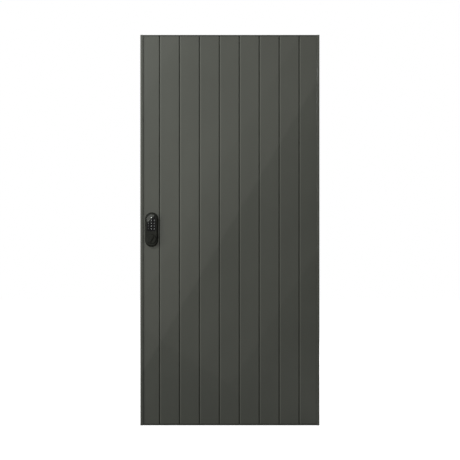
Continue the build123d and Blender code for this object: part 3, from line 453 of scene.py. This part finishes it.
def screwGroup(name, node, body, axis, radii, centres):
    # The heads' plane and the screws' length come from the node's own box.
    low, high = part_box(node)
    way = Vector(axis)
    along = max(range(3), key=lambda k: abs(way[k]))
    length = (high - low)[along]
    headPlane = low[along] if way[along] > 0 else high[along]
    grids = []
    for centre in centres:
        place = Vector(centre)
        place[along] = headPlane
        grids.append(screwGrid(place, axis, radii[0], radii[1], length))
    piece = surfacePiece(name, grids, body, "stainless_steel")
    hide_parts(node)


def boxCentre(node):
    low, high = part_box(node)
    return (low + high) / 2


screwSizes = {
    "hingeScrew": (0.0025, 0.0044), "lockScrew": (0.002, 0.0035), "handleScrew": (0.0025, 0.0044),
    "hingeStep": 0.034, "handleStep": 0.048,
}
hingePlates = ["hinge_bottom_frame_plate", "hinge_middle_frame_plate", "hinge_top_frame_plate"]
for name, node, body, axis in (
    ("hingeFrameScrews", "hinge_frame_screws", "frame", (1, 0, 0)),
    ("hingeLeafScrews", "hinge_leaf_screws", "leaf", (-1, 0, 0)),
):
    rows = [
        (0, boxCentre(node).y, boxCentre(plate).z + n * screwSizes["hingeStep"])
        for plate in hingePlates for n in (-1, 0, 1)
    ]
    screwGroup(name, node, body, axis, screwSizes["hingeScrew"], rows)
for name, node, body, axis in (
    ("strikePlateScrews", "strike_screws", "frame", (-1, 0, 0)),
    ("faceplateEdgeScrews", "faceplate_screws", "leaf", (1, 0, 0)),
):
    low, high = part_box(node)
    reach = screwSizes["lockScrew"][1]
    rows = [(0, boxCentre(node).y, z) for z in (low.z + reach, high.z - reach)]
    screwGroup(name, node, body, axis, screwSizes["lockScrew"], rows)
low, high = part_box("handle_screws")
reach = screwSizes["handleScrew"][1]
ends = (low.z + reach, high.z - reach)
rows = [
    (boxCentre("handle_screws").x, 0, z)
    for z in (ends[0], ends[0] + screwSizes["handleStep"], ends[1] - screwSizes["handleStep"], ends[1])
]
screwGroup("handleFootScrews", "handle_screws", "leaf", (0, -1, 0), screwSizes["handleScrew"], rows)
print("screws made")

# Brush strips
pile = {
    "tuftPitch": 0.0016, "stepsPerTuft": 6, "aroundSteps": 16, "raggedness": 0.08, "fluting": 0.05,
    "squareness": 6.0, "seed": 7, "waves": 24, "longestWave": 0.03,
}


def brushStrip(name, node, body, freeEnd):
    # A rounded-square section carried along X. Its half-width swells and shrinks from tuft to tuft,
    # and its free end, up or down, comes short by a seeded wave.
    low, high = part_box(node)
    tufts = int((high.x - low.x) / pile["tuftPitch"])
    along = np.linspace(low.x, high.x, tufts * pile["stepsPerTuft"] + 1)
    turn = np.linspace(0, 2 * np.pi, pile["aroundSteps"], endpoint=False)
    power = 2 / pile["squareness"]
    sideways = np.sign(np.cos(turn)) * np.abs(np.cos(turn)) ** power
    upwards = np.sign(np.sin(turn)) * np.abs(np.sin(turn)) ** power
    half = (high - low) / 2
    middle = (high + low) / 2
    tuft = np.abs(np.sin(np.pi * (along - low.x) / pile["tuftPitch"]))[:, None]
    width = 1 - pile["fluting"] * (1 - tuft)
    free = softStep(freeEnd * upwards)
    wave = seededWave(along, pile["seed"], pile["waves"], pile["longestWave"])
    ragged = (0.5 + 0.5 * wave)[:, None] * free
    grid = np.empty((len(along), len(turn), 3))
    grid[..., 0] = along[:, None]
    grid[..., 1] = middle.y + half.y * sideways * width
    grid[..., 2] = middle.z + half.z * upwards * (1 - 2 * pile["raggedness"] * ragged)
    ends = [np.broadcast_to((x, middle.y, middle.z), (1, len(turn), 3)) for x in (low.x, high.x)]
    piece = surfacePiece(name, [np.concatenate([ends[0], grid, ends[1]])], body, "brush_pile")
    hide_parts(node)


brushStrip("headPile", "head_brush", "frame", -1)
brushStrip("bottomPile", "bottom_brush", "leaf", -1)
print("brush strips made")

# Weld beads in the frame's corners
bead = {
    "ripplePitch": 0.0012, "rippleDepth": 0.07, "stepsPerRipple": 5, "aroundSteps": 14, "bulge": 0.25,
    "leg": 0.002,
}


def weldBeads(name, node, body):
    # A quarter-round section carried along Y in each corner. Its radius rises and falls with the
    # absolute sine of the way along, as the ripples of a weld do.
    low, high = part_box(node)
    leg = bead["leg"]
    steps = int((high.y - low.y) / bead["ripplePitch"]) * bead["stepsPerRipple"]
    along = np.linspace(low.y, high.y, steps)
    arc = np.linspace(0, np.pi / 2, bead["aroundSteps"] - 1)
    ripple = 1 - bead["rippleDepth"] * np.abs(np.sin(np.pi * (along - low.y) / bead["ripplePitch"]))
    radius = leg / (np.cos(arc) + np.sin(arc)) * (1 + bead["bulge"] * np.sin(2 * arc))
    radius = np.concatenate([radius, [0.0]])
    arc = np.concatenate([arc, [0.0]])
    grids = []
    for x, wayX in ((low.x, 1), (high.x, -1)):
        for z, wayZ in ((low.z, 1), (high.z, -1)):
            grid = np.empty((steps, len(arc), 3))
            grid[..., 0] = x + wayX * ripple[:, None] * radius * np.cos(arc)
            grid[..., 1] = along[:, None]
            grid[..., 2] = z + wayZ * ripple[:, None] * radius * np.sin(arc)
            ends = [np.broadcast_to((x, y, z), (1, len(arc), 3)) for y in (low.y, high.y)]
            grids.append(np.concatenate([ends[0], grid, ends[1]]))
    piece = surfacePiece(name, grids, body, "mill_aluminium")
    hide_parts(node)


weldBeads("cornerBeads", "corner_welds", "frame")
print("weld beads made")

# Lit figures on the keypad
keypad = {
    "rows": ("123", "456", "789", "*0#"), "columnPitch": 0.0156, "rowPitch": 0.0149, "topRow": 0.0985,
    "figureHeight": 0.0049, "capitalShare": 0.72, "boldness": 0.00008, "proud": 0.00004, "thickness": 0.00006,
    # The figures' glow dims towards the left column and fades towards the right: painted shade where the glare
    # lies over the glass
    "glow": {
        "colour": (0.88, 0.92, 0.88), "cloudScale": 90.0, "strength": 0.75, "dimShare": 0.12, "dimAt": -0.437,
        "brightAt": -0.422, "farAt": -0.4055, "farShare": 0.45, "bodyShare": 0.06,
    },
}


def keypadFigures():
    # Each figure is a flat outline of the plain built-in face, made a mesh and stood on the glass.
    low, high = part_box("keypad_glass")
    centreX = (low.x + high.x) / 2
    spindle = boxCentre("turn_blade").z
    made = []
    for r, row in enumerate(keypad["rows"]):
        for c, figure in enumerate(row):
            curve = bpy.data.curves.new("figure", "FONT")
            curve.body = figure
            curve.align_x, curve.align_y = "CENTER", "CENTER"
            curve.size = keypad["figureHeight"] / keypad["capitalShare"]
            curve.extrude = keypad["thickness"] / 2
            curve.offset = keypad["boldness"]
            flat = bpy.data.objects.new("figure", curve)
            bpy.context.scene.collection.objects.link(flat)
            bpy.context.view_layer.update()
            filled = flat.evaluated_get(bpy.context.evaluated_depsgraph_get())
            mesh = bpy.data.meshes.new_from_object(filled)
            bpy.data.objects.remove(flat)
            place = Vector((
                centreX + (c - 1) * keypad["columnPitch"],
                low.y - keypad["proud"],
                spindle + keypad["topRow"] - r * keypad["rowPitch"],
            ))
            mesh.transform(Matrix.Translation(place) @ Matrix.Rotation(math.pi / 2, 4, "X"))
            made.append(mesh)
    joined = bmesh.new()
    for mesh in made:
        joined.from_mesh(mesh)
        bpy.data.meshes.remove(mesh)
    mesh = bpy.data.meshes.new("keypadFigures")
    joined.to_mesh(mesh)
    joined.free()
    piece = bpy.data.objects.new("keypadFigures", mesh)
    bpy.context.scene.collection.objects.link(piece)
    piece.data.materials.append(litMark("figureGlow", keypad["glow"]))
    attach(piece, "leaf")


keypadFigures()
print("keypad figures made")

# Camera
camera = {
    "imageWidth": 460, "doorHeightPixels": 390.68, "doorCentrePixel": (229.9, 230.15), "distance": 4.5,
    "sensor": 36.0, "nearest": 0.05,
}
doorLow, doorHigh = cadBounds
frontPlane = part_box("jamb_lock_side")[0].y
metresPerPixel = (doorHigh.z - doorLow.z) / camera["doorHeightPixels"]
viewWidth = camera["imageWidth"] * metresPerPixel
halfImage = camera["imageWidth"] / 2
aim = Vector((
    (halfImage - camera["doorCentrePixel"][0]) * metresPerPixel,
    frontPlane,
    (doorLow.z + doorHigh.z) / 2 - (halfImage - camera["doorCentrePixel"][1]) * metresPerPixel,
))
cameraData = bpy.data.cameras.new("photoCamera")
cameraData.sensor_width = camera["sensor"]
cameraData.lens = camera["sensor"] * camera["distance"] / viewWidth
cameraData.clip_start = camera["nearest"]
cameraObject = bpy.data.objects.new("photoCamera", cameraData)
cameraObject.location = aim - Vector((0, camera["distance"], 0))
cameraObject.rotation_euler = (math.pi / 2, 0, 0)
bpy.context.scene.collection.objects.link(cameraObject)
bpy.context.scene.camera = cameraObject
print("camera placed")

# Studio: world, floor and lamps
studio = {
    "ambient": 0.306, "floorSize": 8.0, "floorColour": 0.5, "floorLift": 0.9, "floorClouds": (2.0, 2.0, 2.0),
    "floorTone": 0.99, "floorRoughness": 0.9,
    "keyPlace": (-1.25, -1.62, 2.25), "keyAim": (-0.35, 0.0, 1.6), "keySize": 0.5, "keyPower": 28.0,
    "keyColour": (0.86, 0.92, 1.0),
    "fillPlace": (-5.5, -3.9, 2.0), "fillAim": (0.0, 0.0, 0.9), "fillSize": 2.6, "fillPower": 180.0,
    "backPlace": (1.4, 2.8, 2.4), "backAim": (0.0, 0.0, 1.1), "backSize": 1.6, "backPower": 100.0,
    "plainColour": (1.0, 1.0, 1.0),
}


def seenDirectly(tree):
    # 1 for what the camera sees, also in a reflection or through glass
    path = tree.nodes.new("ShaderNodeLightPath")
    direct = maths(tree, "MAXIMUM", path.outputs["Is Camera Ray"], path.outputs["Is Glossy Ray"])
    return maths(tree, "MAXIMUM", direct, path.outputs["Is Transmission Ray"])


world = bpy.data.worlds.new("studioWorld")
world.use_nodes = True
bpy.context.scene.world = world
worldTree = world.node_tree
background = worldTree.nodes["Background"]
background.inputs["Color"].default_value = (1, 1, 1, 1)
worldLevel = spread(worldTree, seenDirectly(worldTree), studio["ambient"], 1.0, 0, 1)
worldTree.links.new(worldLevel, background.inputs["Strength"])


def pourFloor():
    material, tree, shader = startFinish("paleFloor")
    clouds = noise(tree, studio["floorClouds"])
    shade = studio["floorColour"]
    tint = tones(tree, clouds, (shade * studio["floorTone"],) * 3, (shade,) * 3)
    tree.links.new(tint, shader.inputs["Base Color"])
    shader.inputs["Roughness"].default_value = studio["floorRoughness"]
    shader.inputs["Specular IOR Level"].default_value = 0.0
    shader.inputs["Emission Color"].default_value = (1, 1, 1, 1)
    lift = spread(tree, seenDirectly(tree), 0, studio["floorLift"], 0, 1)
    tree.links.new(lift, shader.inputs["Emission Strength"])
    reach = studio["floorSize"]
    mesh = bpy.data.meshes.new("paleFloor")
    corners = [(-reach, -reach, 0), (reach, -reach, 0), (reach, reach, 0), (-reach, reach, 0)]
    mesh.from_pydata(corners, [], [(0, 1, 2, 3)])
    mesh.materials.append(material)
    floor = bpy.data.objects.new("paleFloor", mesh)
    bpy.context.scene.collection.objects.link(floor)


def areaLamp(name, place, axes, size, power, colour, mirrored=True, lights=True):
    # a rectangle of light along the first two axes; gloss can leave it out, and so can plain surfaces
    lampData = bpy.data.lights.new(name, "AREA")
    lampData.shape = "RECTANGLE"
    lampData.color = colour
    lampData.size, lampData.size_y = size
    lampData.energy = power
    lamp = bpy.data.objects.new(name, lampData)
    lamp.matrix_world = Matrix.Translation(place) @ Matrix(axes).transposed().to_4x4()
    lamp.visible_camera = False
    lamp.visible_glossy = mirrored
    lamp.visible_diffuse = lights
    bpy.context.scene.collection.objects.link(lamp)


def softbox(name, colour, mirrored=True):
    # a square lamp that stands at its place and faces its aim
    place = Vector(studio[name + "Place"])
    back = (place - Vector(studio[name + "Aim"])).normalized()
    across = Vector((0, 0, 1)).cross(back).normalized()
    size = (studio[name + "Size"],) * 2
    power = studio[name + "Power"]
    areaLamp(name + "Softbox", place, (across, back.cross(across), back), size, power, colour, mirrored)


pourFloor()
softbox("key", studio["keyColour"])
softbox("fill", studio["plainColour"])
softbox("back", studio["plainColour"], False)

# Tall panels whose slanting edges the gloss of the boards mirrors. Each is given by the line that its
# edge draws on the photograph, as two pixels, and by the brightness that it mirrors. They stand one
# behind the other, so that a mirrored ray passes through them all.
glare = {
    "planeGap": 0.9, "planeStep": 0.02, "length": 3.6, "width": 2.2, "floorGap": 0.03,
    "panels": {
        "cornerPanel": ((175.6, 43.0), (142.0, 107.0), 0.55),
        "upperPanel": ((298.7, 38.0), (142.0, 298.0), 0.4),
        "mainPanel": ((318.8, 78.6), (141.8, 372.8), 0.83),
        "lowerPanel": ((318.0, 177.7), (178.7, 396.0), 0.08),
        "lowestPanel": ((318.0, 249.3), (222.0, 399.3), 0.4),
    },
    "colour": (1.0, 0.97, 0.9),
}
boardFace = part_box("outer_board_2")[0].y


def onMirrorPlane(pixel, mirrorY, gap):
    # A pixel's ray meets the mirror, turns back there, and meets the plane at the gap before it.
    scale = metresPerPixel * (mirrorY - cameraObject.location.y + gap) / camera["distance"]
    return Vector((
        cameraObject.location.x + (pixel[0] - halfImage) * scale,
        mirrorY - gap,
        cameraObject.location.z - (pixel[1] - halfImage) * scale,
    ))


def glarePanel(name, start, along, size, brightness, colour):
    # A panel that runs from its start along one edge, and lies on the upper left of that edge.
    across = Vector((-along.z, 0, along.x))
    place = start + along * size[0] / 2 + across * size[1] / 2
    power = brightness * math.pi * size[0] * size[1]
    areaLamp(name, place, (along, across, along.cross(across)), size, power, colour, True, False)


for n, (name, (upper, lower, brightness)) in enumerate(glare["panels"].items()):
    gap = glare["planeGap"] + n * glare["planeStep"]
    top, bottom = onMirrorPlane(upper, boardFace, gap), onMirrorPlane(lower, boardFace, gap)
    along = (top - bottom).normalized()
    foot = bottom + along * (glare["floorGap"] - bottom.z) / along.z
    glarePanel(name, foot, along, (glare["length"], glare["width"]), brightness, glare["colour"])

# A small bright card that only the keypad's glass mirrors to the camera
card = {
    "edge": ((154.2, 215.6), (147.8, 222.1)), "width": 0.0245, "brightness": 27.0, "gap": 0.84,
    "colour": (0.93, 0.97, 0.86),
}
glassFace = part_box("keypad_glass")[0].y
top, bottom = (onMirrorPlane(pixel, glassFace, card["gap"]) for pixel in card["edge"])
cardSize = ((top - bottom).length, card["width"])
glarePanel("glassCard", bottom, (top - bottom).normalized(), cardSize, card["brightness"], card["colour"])
bpy.context.scene.view_settings.view_transform = "Standard"
print("studio lit")
